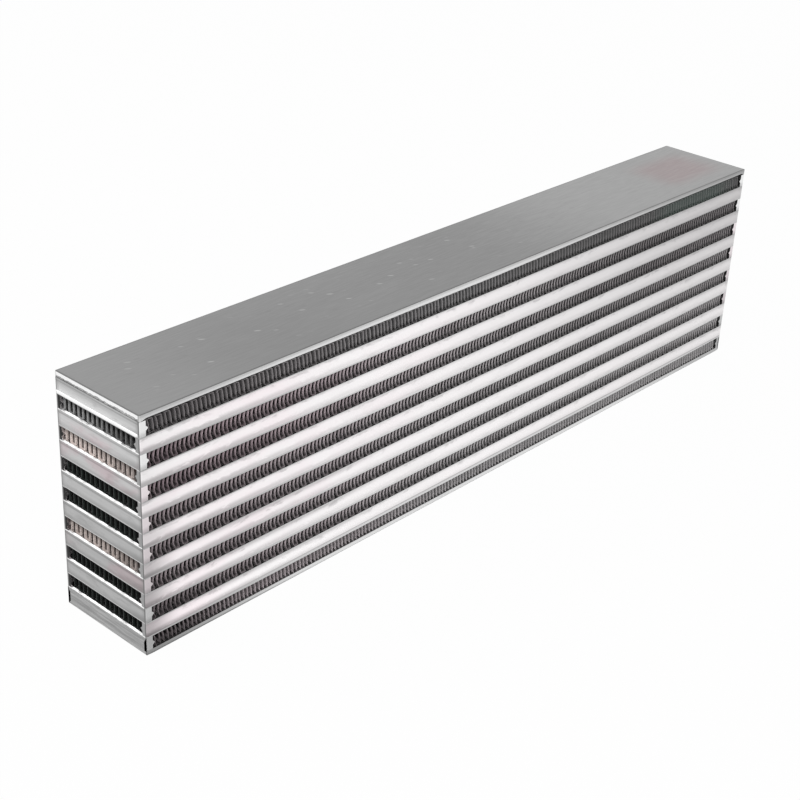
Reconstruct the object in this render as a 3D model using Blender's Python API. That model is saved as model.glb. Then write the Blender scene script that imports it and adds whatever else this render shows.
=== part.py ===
"""Bar-and-plate hydraulic oil cooler core, standing on its bottom side plate.

Air passages run through the depth (Y) and oil passages along the length (X), one above the other.
Every passage holds a folded fin, is closed along two sides by a pair of bars, and is parted from the
next one by a thin sheet. A thick side plate covers the stack at the top and at the bottom. The whole
stack is brazed, so nothing moves. The origin is the middle of the underside, with +Z up.
"""

import math

import bmesh
import bpy

# Overall size, in metres.
CORE_LENGTH = 0.610
CORE_DEPTH = 0.0748

# The stack: air passages are outermost, with one oil passage between each two of them.
AIR_PASSAGES = 8
AIR_PASSAGE_HEIGHT = 0.0098
OIL_PASSAGE_HEIGHT = 0.00915
SHEET_THICKNESS = 0.0007
TOP_PLATE_THICKNESS = 0.0041
BOTTOM_PLATE_THICKNESS = 0.0023
PLATE_BROKEN_EDGE = 0.0003

# Filler metal keeps this film between any two brazed faces.
BRAZE_FILM = 0.00005

# Closing bars: flat bars with a nose along the middle of the inner face.
AIR_BAR_WIDTH = 0.0045
OIL_BAR_WIDTH = 0.0036
BAR_BROKEN_EDGE = 0.0003
NOSE_DEPTH = 0.0014
NOSE_HEIGHT = 0.0032
NOSE_TIP = 0.0006

# Air fin: a sheet in V folds, with as many legs as the rolled strip has.
AIR_FIN_SHEET = 0.0003
AIR_FIN_PITCH = 0.00635
AIR_FIN_RECESS = 0.0004

# Oil fin: a sheet in square folds, set back from the header faces.
OIL_FIN_SHEET = 0.0003
OIL_FIN_PITCH = 0.00874
OIL_FIN_RECESS = 0.0018

# Room between the last fold of a fin and the nose of the bar beside it.
FIN_END_GAP = 0.0003

QUARTER_TURN = math.pi / 2
HALF_TURN = math.pi

# Name, base colour, roughness and metallic value of each finish.
FINISHES = {
    "plate_aluminium": ((0.42, 0.42, 0.43), 0.45, 1.0),
    "bar_aluminium": ((0.80, 0.79, 0.79), 0.35, 1.0),
    "sheet_aluminium": ((0.70, 0.70, 0.70), 0.40, 1.0),
    "air_fin_aluminium": ((0.45, 0.44, 0.44), 0.50, 1.0),
    "oil_fin_aluminium": ((0.40, 0.38, 0.36), 0.50, 1.0),
}


def clear_scene():
    for old in list(bpy.data.objects):
        bpy.data.objects.remove(old)


def make_finish(name):
    colour, roughness, metallic = FINISHES[name]
    finish = bpy.data.materials.new(name)
    finish.use_nodes = True
    shader = finish.node_tree.nodes["Principled BSDF"]
    shader.inputs["Base Color"].default_value = (*colour, 1.0)
    shader.inputs["Roughness"].default_value = roughness
    shader.inputs["Metallic"].default_value = metallic
    return finish


def add_object(name, shape, finish, core):
    """Turns a bmesh into a named object of the core."""
    mesh = bpy.data.meshes.new(name)
    shape.to_mesh(mesh)
    shape.free()
    mesh.materials.append(finish)
    piece = bpy.data.objects.new(name, mesh)
    piece.parent = core
    bpy.context.scene.collection.objects.link(piece)
    return piece


def extruded(name, outline, length, finish, core):
    """A piece with this (x, z) outline, drawn out to its length along Y about the middle."""
    shape = bmesh.new()
    corners = [shape.verts.new((x, -length / 2, z)) for x, z in outline]
    face = shape.faces.new(corners)
    drawn = bmesh.ops.extrude_face_region(shape, geom=[face])
    far_corners = [part for part in drawn["geom"] if isinstance(part, bmesh.types.BMVert)]
    bmesh.ops.translate(shape, vec=(0, length, 0), verts=far_corners)
    bmesh.ops.recalc_face_normals(shape, faces=shape.faces)
    return add_object(name, shape, finish, core)


def folded_fin(name, folds, sheet, length, finish, core):
    """A sheet folded along these (x, z) corners, drawn out to its length along Y about the middle."""
    shape = bmesh.new()
    corners = [shape.verts.new((x, -length / 2, z)) for x, z in folds]
    edges = [shape.edges.new(pair) for pair in zip(corners, corners[1:])]
    drawn = bmesh.ops.extrude_edge_only(shape, edges=edges)
    far_corners = [part for part in drawn["geom"] if isinstance(part, bmesh.types.BMVert)]
    bmesh.ops.translate(shape, vec=(0, length, 0), verts=far_corners)
    fin = add_object(name, shape, finish, core)
    thickness = fin.modifiers.new("sheet_thickness", "SOLIDIFY")
    thickness.thickness = sheet
    thickness.offset = 0
    thickness.use_even_offset = True
    return fin


def v_folds(span, height, pitch, sheet):
    """Middle line of a strip in V folds that fills a span and a height with its sheet on."""
    legs = 2 * max(1, round(span / pitch))
    run = span / legs
    # A leg this steep measures more than its sheet when taken upright, and so do the two crests.
    upright = sheet * (run * math.sqrt(run**2 + height**2 - sheet**2) - sheet * height) / (run**2 - sheet**2)
    low, high = upright / 2, height - upright / 2
    return [(run * i - span / 2, high if i % 2 else low) for i in range(legs + 1)]


def square_folds(span, height, pitch, sheet):
    """Middle line of a strip in square folds that fills a span and a height with its sheet on."""
    legs = 2 * max(1, round((span - sheet) / pitch))
    run = (span - sheet) / legs
    levels = (sheet / 2, height - sheet / 2)
    folds = []
    for i in range(legs + 1):
        x = run * i - (span - sheet) / 2
        folds += [(x, levels[i % 2]), (x, levels[1 - i % 2])]
    return folds


def bar_inner_side(width, base, top):
    """Inner side of a bar from its top to its base, as (inward, up) points, with the nose half way."""
    middle = (base + top) / 2
    return [
        (width, top),
        (width, middle + NOSE_HEIGHT / 2),
        (width + NOSE_DEPTH, middle + NOSE_TIP / 2),
        (width + NOSE_DEPTH, middle - NOSE_TIP / 2),
        (width, middle - NOSE_HEIGHT / 2),
        (width, base),
    ]


def outer_side(base, top, lower_break, upper_break):
    """Outer side of a piece from its base to its top, as (inward, up) points with broken edges."""
    return [(lower_break, base), (0, base + lower_break), (0, top - upper_break), (upper_break, top)]


def bar_outline(width, height):
    return outer_side(0, height, BAR_BROKEN_EDGE, BAR_BROKEN_EDGE) + bar_inner_side(width, 0, height)


def across_the_core(half):
    """Full-length outline from a half given as (inward, up) points at the left end."""
    left = [(inward - CORE_LENGTH / 2, up) for inward, up in half]
    right = [(-x, z) for x, z in reversed(left)]
    return left + right


def add_top_plate(base, finish, core):
    half = outer_side(0, TOP_PLATE_THICKNESS, PLATE_BROKEN_EDGE, PLATE_BROKEN_EDGE)
    plate = extruded("top_side_plate", across_the_core(half), CORE_DEPTH, finish, core)
    plate.location.z = base


def add_bottom_plate(finish, core):
    """The bottom side plate, in one piece with the two bars that close the lowest air passage."""
    top = BOTTOM_PLATE_THICKNESS + AIR_PASSAGE_HEIGHT - BRAZE_FILM
    half = outer_side(0, top, PLATE_BROKEN_EDGE, BAR_BROKEN_EDGE)
    half += bar_inner_side(AIR_BAR_WIDTH, BOTTOM_PLATE_THICKNESS, top)
    extruded("bottom_side_plate", across_the_core(half), CORE_DEPTH, finish, core)


def add_sheet(number, base, finish, core):
    half = outer_side(0, SHEET_THICKNESS, 0, 0)[1:3]
    sheet = extruded(f"parting_sheet_{number:02d}", across_the_core(half), CORE_DEPTH, finish, core)
    sheet.location.z = base


def add_air_bars(number, base, finish, core):
    """The two short bars that close the ends of an air passage, noses facing each other."""
    outline = bar_outline(AIR_BAR_WIDTH, AIR_PASSAGE_HEIGHT - 2 * BRAZE_FILM)
    for side, x, turn in (("left", -CORE_LENGTH / 2, 0), ("right", CORE_LENGTH / 2, HALF_TURN)):
        bar = extruded(f"air_bar_{side}_{number}", outline, CORE_DEPTH, finish, core)
        bar.location = (x, 0, base + BRAZE_FILM)
        bar.rotation_euler.z = turn


def add_oil_bars(number, base, finish, core):
    """The two long bars that close the front and back of an oil passage, noses facing each other."""
    outline = bar_outline(OIL_BAR_WIDTH, OIL_PASSAGE_HEIGHT - 2 * BRAZE_FILM)
    for side, y, turn in (("front", -CORE_DEPTH / 2, QUARTER_TURN), ("back", CORE_DEPTH / 2, -QUARTER_TURN)):
        bar = extruded(f"oil_bar_{side}_{number}", outline, CORE_LENGTH, finish, core)
        bar.location = (0, y, base + BRAZE_FILM)
        bar.rotation_euler.z = turn


def fin_span(across, bar_width):
    """Room for a fin between the noses of the two bars that close its passage."""
    return across - 2 * (bar_width + NOSE_DEPTH + FIN_END_GAP)


def add_air_fin(number, base, finish, core):
    height = AIR_PASSAGE_HEIGHT - 2 * BRAZE_FILM
    span = fin_span(CORE_LENGTH, AIR_BAR_WIDTH)
    folds = v_folds(span, height, AIR_FIN_PITCH, AIR_FIN_SHEET)
    length = CORE_DEPTH - 2 * AIR_FIN_RECESS
    fin = folded_fin(f"air_fin_{number}", folds, AIR_FIN_SHEET, length, finish, core)
    fin.location.z = base + BRAZE_FILM


def add_oil_fin(number, base, finish, core):
    height = OIL_PASSAGE_HEIGHT - 2 * BRAZE_FILM
    span = fin_span(CORE_DEPTH, OIL_BAR_WIDTH)
    folds = square_folds(span, height, OIL_FIN_PITCH, OIL_FIN_SHEET)
    length = CORE_LENGTH - 2 * OIL_FIN_RECESS
    fin = folded_fin(f"oil_fin_{number}", folds, OIL_FIN_SHEET, length, finish, core)
    fin.location.z = base + BRAZE_FILM
    fin.rotation_euler.z = QUARTER_TURN


def build_core():
    """Builds the stack from the bottom up. Passages and sheets are numbered from the top down."""
    finishes = {name: make_finish(name) for name in FINISHES}
    core = bpy.data.objects.new("oil_cooler_core", None)
    bpy.context.scene.collection.objects.link(core)

    add_bottom_plate(finishes["plate_aluminium"], core)
    base = BOTTOM_PLATE_THICKNESS
    for number in range(AIR_PASSAGES, 0, -1):
        add_air_fin(number, base, finishes["air_fin_aluminium"], core)
        if number < AIR_PASSAGES:
            add_air_bars(number, base, finishes["bar_aluminium"], core)
        base += AIR_PASSAGE_HEIGHT
        if number == 1:
            break
        add_sheet(2 * number - 2, base, finishes["sheet_aluminium"], core)
        base += SHEET_THICKNESS
        add_oil_fin(number - 1, base, finishes["oil_fin_aluminium"], core)
        add_oil_bars(number - 1, base, finishes["bar_aluminium"], core)
        base += OIL_PASSAGE_HEIGHT
        add_sheet(2 * number - 3, base, finishes["sheet_aluminium"], core)
        base += SHEET_THICKNESS
    add_top_plate(base, finishes["plate_aluminium"], core)


clear_scene()
build_core()
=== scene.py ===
# %% [markdown]
# # Dressing a bar-and-plate oil cooler core
#
# The core is a brazed stack of aluminium: folded fins, closing bars, thin parting sheets and two side
# plates. The imported solids give every size and place. This lesson models each piece again as a maker
# would see it, with worn edges and the true folds, and gives it a finish like the one it has in life, with
# light and shade painted into the colour in many places.

# %% Load the fixed frame
import math

import bmesh
import bpy
import numpy as np
from mathutils import Matrix, Vector


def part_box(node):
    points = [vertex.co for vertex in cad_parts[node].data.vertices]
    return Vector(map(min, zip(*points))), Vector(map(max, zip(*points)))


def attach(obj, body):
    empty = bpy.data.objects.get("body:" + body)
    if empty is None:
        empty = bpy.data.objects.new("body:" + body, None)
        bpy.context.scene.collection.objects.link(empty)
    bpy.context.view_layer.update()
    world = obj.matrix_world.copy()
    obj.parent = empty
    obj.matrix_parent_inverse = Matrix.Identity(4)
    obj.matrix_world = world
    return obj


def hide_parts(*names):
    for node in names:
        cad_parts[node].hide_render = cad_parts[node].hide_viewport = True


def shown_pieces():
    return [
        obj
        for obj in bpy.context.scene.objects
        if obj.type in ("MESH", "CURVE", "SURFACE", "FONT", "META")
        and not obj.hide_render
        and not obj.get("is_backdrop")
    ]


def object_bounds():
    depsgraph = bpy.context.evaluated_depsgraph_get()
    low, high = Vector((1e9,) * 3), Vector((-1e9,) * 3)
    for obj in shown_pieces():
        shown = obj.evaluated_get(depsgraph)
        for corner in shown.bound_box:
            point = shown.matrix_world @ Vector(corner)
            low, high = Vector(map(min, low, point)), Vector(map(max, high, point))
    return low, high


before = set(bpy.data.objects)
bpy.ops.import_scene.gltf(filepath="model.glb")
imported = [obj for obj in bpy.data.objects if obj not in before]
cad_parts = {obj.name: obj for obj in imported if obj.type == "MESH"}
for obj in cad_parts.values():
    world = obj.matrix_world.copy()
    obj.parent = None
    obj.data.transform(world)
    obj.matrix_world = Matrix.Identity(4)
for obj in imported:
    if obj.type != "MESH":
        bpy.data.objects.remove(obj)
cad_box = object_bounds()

core_low, core_high = cad_box
core_middle = core_low.lerp(core_high, 0.5)
print("core measures", [round(side * 1000, 2) for side in core_high - core_low], "mm")

# %% [markdown]
# ## The camera
#
# A camera could be placed by eye, but the core is a plain box with evenly spaced rows, so its corners and
# rows in the picture fix the place, the turn and the lens. The values here are that solution.

# %% Camera at the photograph's view
CAMERA_PLACE = (-0.77742, -0.63967, 0.57034)
CAMERA_TURN = (62.3518, -2.5791, -47.2755)
CAMERA_LENS = 71.86
CAMERA_SENSOR = 36.0
CAMERA_NEAR_LIMIT = 0.01

scene = bpy.context.scene
camera_data = bpy.data.cameras.new("view_camera")
camera_data.lens = CAMERA_LENS
camera_data.sensor_width = CAMERA_SENSOR
camera_data.clip_start = CAMERA_NEAR_LIMIT
camera = bpy.data.objects.new("view_camera", camera_data)
camera.location = CAMERA_PLACE
camera.rotation_euler = [math.radians(turn) for turn in CAMERA_TURN]
scene.collection.objects.link(camera)
scene.camera = camera
scene.view_settings.view_transform = "Standard"
print("camera stands", round((Vector(CAMERA_PLACE) - core_middle).length, 3), "m away")

# %% [markdown]
# ## Nodes as short lists
#
# Materials are trees of nodes. One helper adds a node, sets its options, and gives each input either a
# constant or a link. The others build on it and find the tree by the links they are given, so that a
# finish reads as a short list of steps.


# %% Node helpers
def add_node(tree, kind, inputs=None, **options):
    """Adds a shader node, sets its options, and gives each input a constant or a link."""
    node = tree.nodes.new("ShaderNode" + kind)
    for option, value in options.items():
        setattr(node, option, value)
    for name, value in (inputs or {}).items():
        if isinstance(value, bpy.types.NodeSocket):
            tree.links.new(value, node.inputs[name])
        else:
            node.inputs[name].default_value = value
    return node


def tree_of(*values):
    """The node tree of the first value that is a link."""
    return next(value.id_data for value in values if isinstance(value, bpy.types.NodeSocket))


def calculate(operation, first, second=0.0):
    return add_node(tree_of(first, second), "Math", {0: first, 1: second}, operation=operation).outputs[0]


def product(first, second):
    return calculate("MULTIPLY", first, second)


def remap(value, low, high, to_low=0.0, to_high=1.0):
    """A smooth step from to_low to to_high as the value goes from low to high."""
    inputs = {"Value": value, "From Min": low, "From Max": high, "To Min": to_low, "To Max": to_high}
    return add_node(tree_of(value), "MapRange", inputs, interpolation_type="SMOOTHSTEP").outputs[0]


def fade_out(value, low, high):
    """1 up to low, falling to 0 at high."""
    return remap(value, low, high, 1.0, 0.0)


def between(value, low, high, fade):
    """1 where the value lies between low and high, with a fade outside them."""
    return product(remap(value, low - fade, low), fade_out(value, high, high + fade))


def split(vector):
    """The X, Y and Z of a vector."""
    return add_node(tree_of(vector), "SeparateXYZ", {0: vector}).outputs


# %% [markdown]
# ## Colours as layers
#
# A finish starts from one tone and takes on others in layers, as paint would. Each layer has a mask that
# says where it lies, a strength, and the tone it draws the surface to.

# %% Colour helpers
MIX_FACTOR, MIX_A, MIX_B, MIX_RESULT = 0, 6, 7, 2


def grey(level):
    return (level, level, level, 1.0)


def mix_colour(factor, first, second):
    """The first colour where the factor is 0, the second where it is 1."""
    inputs = {MIX_FACTOR: factor, MIX_A: first, MIX_B: second}
    return add_node(tree_of(factor), "Mix", inputs, data_type="RGBA").outputs[MIX_RESULT]


def tinged(colour, tinge):
    """A colour seen through a tinge."""
    inputs = {MIX_FACTOR: 1.0, MIX_A: colour, MIX_B: tinge}
    mix = add_node(tree_of(colour), "Mix", inputs, data_type="RGBA", blend_type="MULTIPLY")
    return mix.outputs[MIX_RESULT]


def tint(colour, mask, strength, target):
    """A colour drawn towards a target where a mask is 1, by a strength from 0 to 1."""
    return mix_colour(product(mask, strength), colour, target)


def darken(colour, mask, strength=1.0):
    """A colour drawn towards black where a mask is 1."""
    return tint(colour, mask, strength, grey(0.0))


# %% [markdown]
# ## Background and light
#
# The core stands on a pale floor that fades into a white background. White for the camera comes from the
# rays that the camera, mirrors and glass send out, and not from more light. Two wide soft lamps stand in
# for a light tent: one behind the camera, which reaches in between the fins, and a weaker one over the near
# end.

# %% White surroundings
FILL_LEVEL = 0.55


def seen_directly(tree):
    """1 for rays from the camera and for mirror and glass rays, 0 for rays that gather soft light."""
    path = add_node(tree, "LightPath").outputs
    camera_or_mirror = calculate("MAXIMUM", path["Is Camera Ray"], path["Is Glossy Ray"])
    return calculate("MAXIMUM", camera_or_mirror, path["Is Transmission Ray"])


world = bpy.data.worlds.new("white_tent")
world.use_nodes = True
scene.world = world
world_tree = world.node_tree
world_colour = mix_colour(seen_directly(world_tree), grey(FILL_LEVEL), grey(1.0))
world_tree.links.new(world_colour, world_tree.nodes["Background"].inputs["Color"])
print("fill light at", FILL_LEVEL)

# %% Pale floor
FLOOR_SIZE = 14.0
FLOOR_DROP = 0.0004
FLOOR_GREY = 0.92
FLOOR_WHITENESS = 0.97

bpy.ops.object.select_all(action="DESELECT")
bpy.ops.mesh.primitive_plane_add(size=FLOOR_SIZE, location=(0, 0, core_low.z - FLOOR_DROP))
floor = bpy.context.object
floor.name = "pale_floor"
floor_paper = bpy.data.materials.new("floor_paper")
floor_paper.use_nodes = True
paper_tree = floor_paper.node_tree
paper_tree.nodes.remove(paper_tree.nodes["Principled BSDF"])
matt = add_node(paper_tree, "BsdfDiffuse", {"Color": grey(FLOOR_GREY)})
white = add_node(paper_tree, "Emission", {"Color": grey(1.0), "Strength": 1.0})
white_share = product(seen_directly(paper_tree), FLOOR_WHITENESS)
paper = add_node(paper_tree, "MixShader", {0: white_share, 1: matt.outputs[0], 2: white.outputs[0]})
paper_tree.links.new(paper.outputs[0], paper_tree.nodes["Material Output"].inputs["Surface"])
floor.data.materials.append(floor_paper)
floor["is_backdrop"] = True
print("floor lies", FLOOR_DROP * 1000, "mm under the core")

# %% Soft lamps
# Place in metres, side in metres and power in watts.
SOFT_LAMPS = {
    "view_lamp": ((-1.6, -1.35, 1.25), 2.4, 25),
    "near_end_lamp": ((-1.4, 0.9, 1.5), 2.0, 8),
}

for name, (place, side, watts) in SOFT_LAMPS.items():
    lamp_data = bpy.data.lights.new(name, "AREA")
    lamp_data.shape = "SQUARE"
    lamp_data.size = side
    lamp_data.energy = watts
    lamp = bpy.data.objects.new(name, lamp_data)
    lamp.location = place
    lamp.rotation_euler = (core_middle - Vector(place)).to_track_quat("-Z", "Y").to_euler()
    scene.collection.objects.link(lamp)
print("lamps", list(SOFT_LAMPS))

# %% [markdown]
# ## Shared surface effects
#
# Rolled and extruded aluminium shows a fine grain along its length, soft stains from the brazing furnace,
# and nicks from handling. Each effect is a node group with its own inputs, so that every finish can use
# it at its own scale.


# %% Grain and stains
def new_group(name, sockets, output):
    """An empty shader node group with named inputs and one output, and its two end nodes."""
    group = bpy.data.node_groups.new(name, "ShaderNodeTree")
    for socket, kind in sockets.items():
        group.interface.new_socket(socket, in_out="INPUT", socket_type="NodeSocket" + kind)
    group.interface.new_socket(output, in_out="OUTPUT", socket_type="NodeSocketFloat")
    return group, group.nodes.new("NodeGroupInput").outputs, group.nodes.new("NodeGroupOutput").inputs[output]


def stretched(place, stretch):
    return add_node(tree_of(place), "VectorMath", {0: place, 1: stretch}, operation="MULTIPLY").outputs[0]


def make_grain_group():
    """Fine streaks: noise drawn out by a stretch in each direction."""
    group, given, result = new_group("metal_grain", {"Place": "Vector", "Stretch": "Vector"}, "Grain")
    inputs = {"Vector": stretched(given["Place"], given["Stretch"]), "Scale": 1.0, "Detail": 4.0,
              "Roughness": 0.6}
    group.links.new(add_node(group, "TexNoise", inputs).outputs[0], result)
    return group


def make_stain_group():
    """Soft blotches that cover a share of the surface."""
    sockets = {"Place": "Vector", "Stretch": "Vector", "Cover": "Float"}
    group, given, result = new_group("soft_stains", sockets, "Stain")
    inputs = {"Vector": stretched(given["Place"], given["Stretch"]), "Scale": 1.0, "Detail": 5.0,
              "Roughness": 0.62, "Distortion": 0.4}
    noise = add_node(group, "TexNoise", inputs).outputs[0]
    start = calculate("SUBTRACT", 0.66, product(given["Cover"], 0.36))
    group.links.new(remap(noise, start, calculate("ADD", start, 0.22)), result)
    return group


effects = {"grain": make_grain_group(), "stains": make_stain_group()}
print("effect groups", list(effects))


# %% Nicks
def make_nick_group():
    """Sparse short flecks: stretched cells, of which a random share keeps a spot in its middle."""
    sockets = {"Place": "Vector", "Stretch": "Vector", "Turn": "Vector", "Share": "Float"}
    group, given, result = new_group("handling_nicks", sockets, "Nick")
    inputs = {"Vector": given["Place"], "Rotation": given["Turn"]}
    turned = add_node(group, "VectorRotate", inputs, rotation_type="EULER_XYZ").outputs[0]
    inputs = {"Vector": stretched(turned, given["Stretch"]), "Scale": 1.0, "Randomness": 1.0}
    cells = add_node(group, "TexVoronoi", inputs).outputs
    spot = fade_out(cells["Distance"], 0.10, 0.26)
    draw = add_node(group, "SeparateColor", {0: cells["Color"]}).outputs[0]
    kept = calculate("LESS_THAN", draw, given["Share"])
    group.links.new(product(spot, kept), result)
    return group


effects["nicks"] = make_nick_group()
print("effect groups", list(effects))

# %% [markdown]
# ## Which way a surface faces
#
# A sawn end, a milled side and an underside have their own tones on one and the same piece. The dark of an
# underside, and of a surface that leans down, is painted shade. They could be given materials of their own,
# face by face, but a mask made from the normal also blends them over a rounded edge.

# %% Facing
X, Y, Z = 0, 1, 2


def facing(group):
    """The X, Y and Z of the way that a surface faces."""
    return split(add_node(group, "TexCoord").outputs["Normal"])


def make_facing_group(name, axis, slight, square):
    """1 on surfaces that face along one axis, either way."""
    group, _, result = new_group(name, {}, "Facing")
    group.links.new(remap(calculate("ABSOLUTE", facing(group)[axis]), slight, square), result)
    return group


def make_leaning_group(name, steep, slight):
    """1 on surfaces that lean downwards as far as a steep normal, 0 from a slight one on."""
    group, _, result = new_group(name, {}, "Facing")
    group.links.new(fade_out(facing(group)[Z], steep, slight), result)
    return group


effects["ends"] = make_facing_group("facing_ends", X, 0.80, 0.95)
effects["sides"] = make_facing_group("facing_sides", Y, 0.45, 0.70)
# The next two masks carry painted shade: the finishes paint faces that lean or look down darker.
effects["leaning"] = make_leaning_group("leaning_down", -0.10, -0.03)
effects["underside"] = make_leaning_group("facing_down", -0.45, -0.05)
print("effect groups", list(effects))

# %% [markdown]
# ## Finishes
#
# All pieces are aluminium, so they differ in grain, gloss and dirt more than in colour, and much of their
# tone is painted light and shade. Places along the core (X), across it (Y) and up the stack (Z) are in
# metres, because the patterns read object coordinates.

# %% Finish helpers
HALF_LENGTH = core_high.x
HALF_DEPTH = core_high.y
# Width and grey of the line of painted shade up the upright corners.
CORNER_SHADE_WIDTH = 0.0015
CORNER_SHADE_GREY = 0.14
TOP_ROW = (0.1425, 0.1445)


def use_effect(tree, name, **inputs):
    """Places an effect group in a material and gives its one output."""
    return add_node(tree, "Group", inputs, node_tree=effects[name]).outputs[0]


def new_finish(name, roughness, metallic=1.0):
    """A metal: its tree, its Principled shader, and the object coordinates that patterns read."""
    finish = bpy.data.materials.new(name)
    finish.use_nodes = True
    tree = finish.node_tree
    shader = tree.nodes["Principled BSDF"]
    shader.inputs["Metallic"].default_value = metallic
    shader.inputs["Roughness"].default_value = roughness
    return finish, tree, shader, add_node(tree, "TexCoord").outputs["Object"]


def set_colour(finish, colour):
    """Links the finished colour to the shader, and tells how much it took."""
    tree = finish.node_tree
    tree.links.new(colour, tree.nodes["Principled BSDF"].inputs["Base Color"])
    print(finish.name, "has", len(tree.nodes), "nodes")


def add_bump(tree, shader, height, strength, distance):
    bump = add_node(tree, "Bump", {"Height": height, "Strength": strength, "Distance": distance})
    tree.links.new(bump.outputs[0], shader.inputs["Normal"])


def share_up(tree):
    """How far up its piece a place lies, from 0 at the foot to 1 at the top."""
    return add_node(tree, "Attribute", attribute_name="up").outputs["Fac"]


def outermost(value, half, width):
    """1 where a place lies within a width of either end."""
    return remap(calculate("ABSOLUTE", value), half - width, half - 0.6 * width)


def painted_corner_shade(across):
    """1 close to the upright corners of the core, but not on its front and back faces, where a line of shade
    is painted.
    """
    close = outermost(across, HALF_DEPTH, CORNER_SHADE_WIDTH)
    return product(close, calculate("SUBTRACT", 1.0, use_effect(tree_of(across), "sides")))


def front_gloom(along, height):
    """How much painted shade darkens the front towards the far end, less so low down, where the floor throws
    light back.
    """
    return product(remap(along, -0.15, 0.31), remap(height, 0.03, 0.15, 0.17, 0.42))


# %% [markdown]
# ## Finish of the top plate
#
# The plate is rolled sheet with a satin skin: a fine grain, pale clouds, and small dents and scrapes where it
# was handled. One flat grey would look like plastic. So the upper face is built up in layers, the sheared
# edges get their own tones, and the masks of the way a surface faces choose between them. Some layers are
# painted light and shade: the upper face lightens towards the far end and over the near end, a painted
# reflection; a dark line round its rim, the front edges darkening towards the far end, and faces that lean
# or look down are painted shade.

# %% Satin top plate
RIM_LINE = 0.0013


def plate_flecks(tree, place, along, across):
    """Bright dents and dark scrapes along the middle of the plate."""
    bright = use_effect(tree, "nicks", Place=place, Stretch=(85.0, 260.0, 40.0), Turn=(0, 0, 0.5), Share=0.3)
    dark = use_effect(tree, "nicks", Place=place, Stretch=(80.0, 200.0, 40.0), Turn=(0, 0, 0.2), Share=0.3)
    handled = product(between(along, -0.25, 0.03, 0.05), between(across, -0.014, 0.016, 0.012))
    scraped = product(dark, between(along, -0.25, 0.12, 0.05))
    return product(bright, handled), product(scraped, between(across, -0.014, 0.02, 0.012))


def plate_upper_face(tree, place, along, across, grain, near):
    """The upper face, and its bright dents as a mask."""
    cloud = use_effect(tree, "stains", Place=place, Stretch=(8.0, 14.0, 8.0), Cover=0.5)
    bright, dark = plate_flecks(tree, place, along, across)
    back = product(remap(across, 0.0, 0.03), fade_out(along, -0.1, 0.0))
    blot = product(between(along, 0.245, 0.275, 0.03), between(across, -0.012, 0.010, 0.02))
    # The rim mask paints a dark line round the upper face: painted shade on the rolled rim.
    rim = calculate("MAXIMUM", outermost(along, HALF_LENGTH, RIM_LINE),
                    outermost(across, HALF_DEPTH, RIM_LINE))
    # The upper face is painted lighter towards the far end and over the near end: painted reflection.
    top = mix_colour(remap(along, 0.01, 0.16), grey(0.246), grey(0.342))
    top = tint(top, near, 0.9, grey(0.303))
    top = tint(top, back, 0.3, grey(0.31))
    top = tint(top, cloud, 0.25, grey(0.31))
    top = tint(top, grain, 0.12, grey(0.40))
    top = tint(top, bright, 0.4, grey(0.62))
    top = tint(top, dark, 0.3, grey(0.22))
    top = tint(top, blot, 0.5, (0.34, 0.245, 0.25, 1.0))
    return tint(top, rim, 0.65, grey(0.15)), bright


def plate_front(along, height, near):
    """The sheared front and back edges, with painted shade that darkens them towards the rim and the far end.
    """
    front = mix_colour(remap(along, -0.08, 0.36), grey(0.79), grey(0.40))
    front = tint(front, near, 0.8, grey(0.64))
    return darken(front, remap(height, core_high.z - 0.0026, core_high.z - 0.0006), 0.25)


def make_top_plate_finish():
    finish, tree, shader, place = new_finish("satin_plate", 0.42)
    along, across, height = split(place)
    near = fade_out(along, -0.305, -0.19)
    grain = use_effect(tree, "grain", Place=place, Stretch=(60.0, 900.0, 900.0))
    top, bright = plate_upper_face(tree, place, along, across, grain, near)
    # On the ends the torn slope is painted grey where it leans down, partly the dull tear and partly painted
    # shade, and darker still where it looks down, painted shade.
    end = mix_colour(use_effect(tree, "leaning"), grey(0.92), grey(0.48))
    end = tint(end, use_effect(tree, "underside"), 0.9, grey(0.20))
    colour = mix_colour(use_effect(tree, "sides"), top, plate_front(along, height, near))
    # Faces that look down are painted almost black: painted shade under the plate.
    colour = tint(colour, use_effect(tree, "underside"), 1.0, grey(0.03))
    colour = mix_colour(use_effect(tree, "ends"), colour, end)
    colour = tint(colour, painted_corner_shade(across), 0.5, grey(0.18))
    set_colour(finish, colour)
    tree.links.new(remap(grain, 0.3, 0.7, 0.36, 0.5), shader.inputs["Roughness"])
    add_bump(tree, shader, bright, 0.25, 0.0002)
    return finish


top_plate_finish = make_top_plate_finish()

# %% [markdown]
# ## Finish of the bottom plate
#
# The ends of the bottom plate still show the path of the saw, and the foot of its front is painted dark at
# the near end, painted shade where the plate meets the floor. The saw marks are grain drawn out across the
# end, which gives both the tone and a slight bump.


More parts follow.
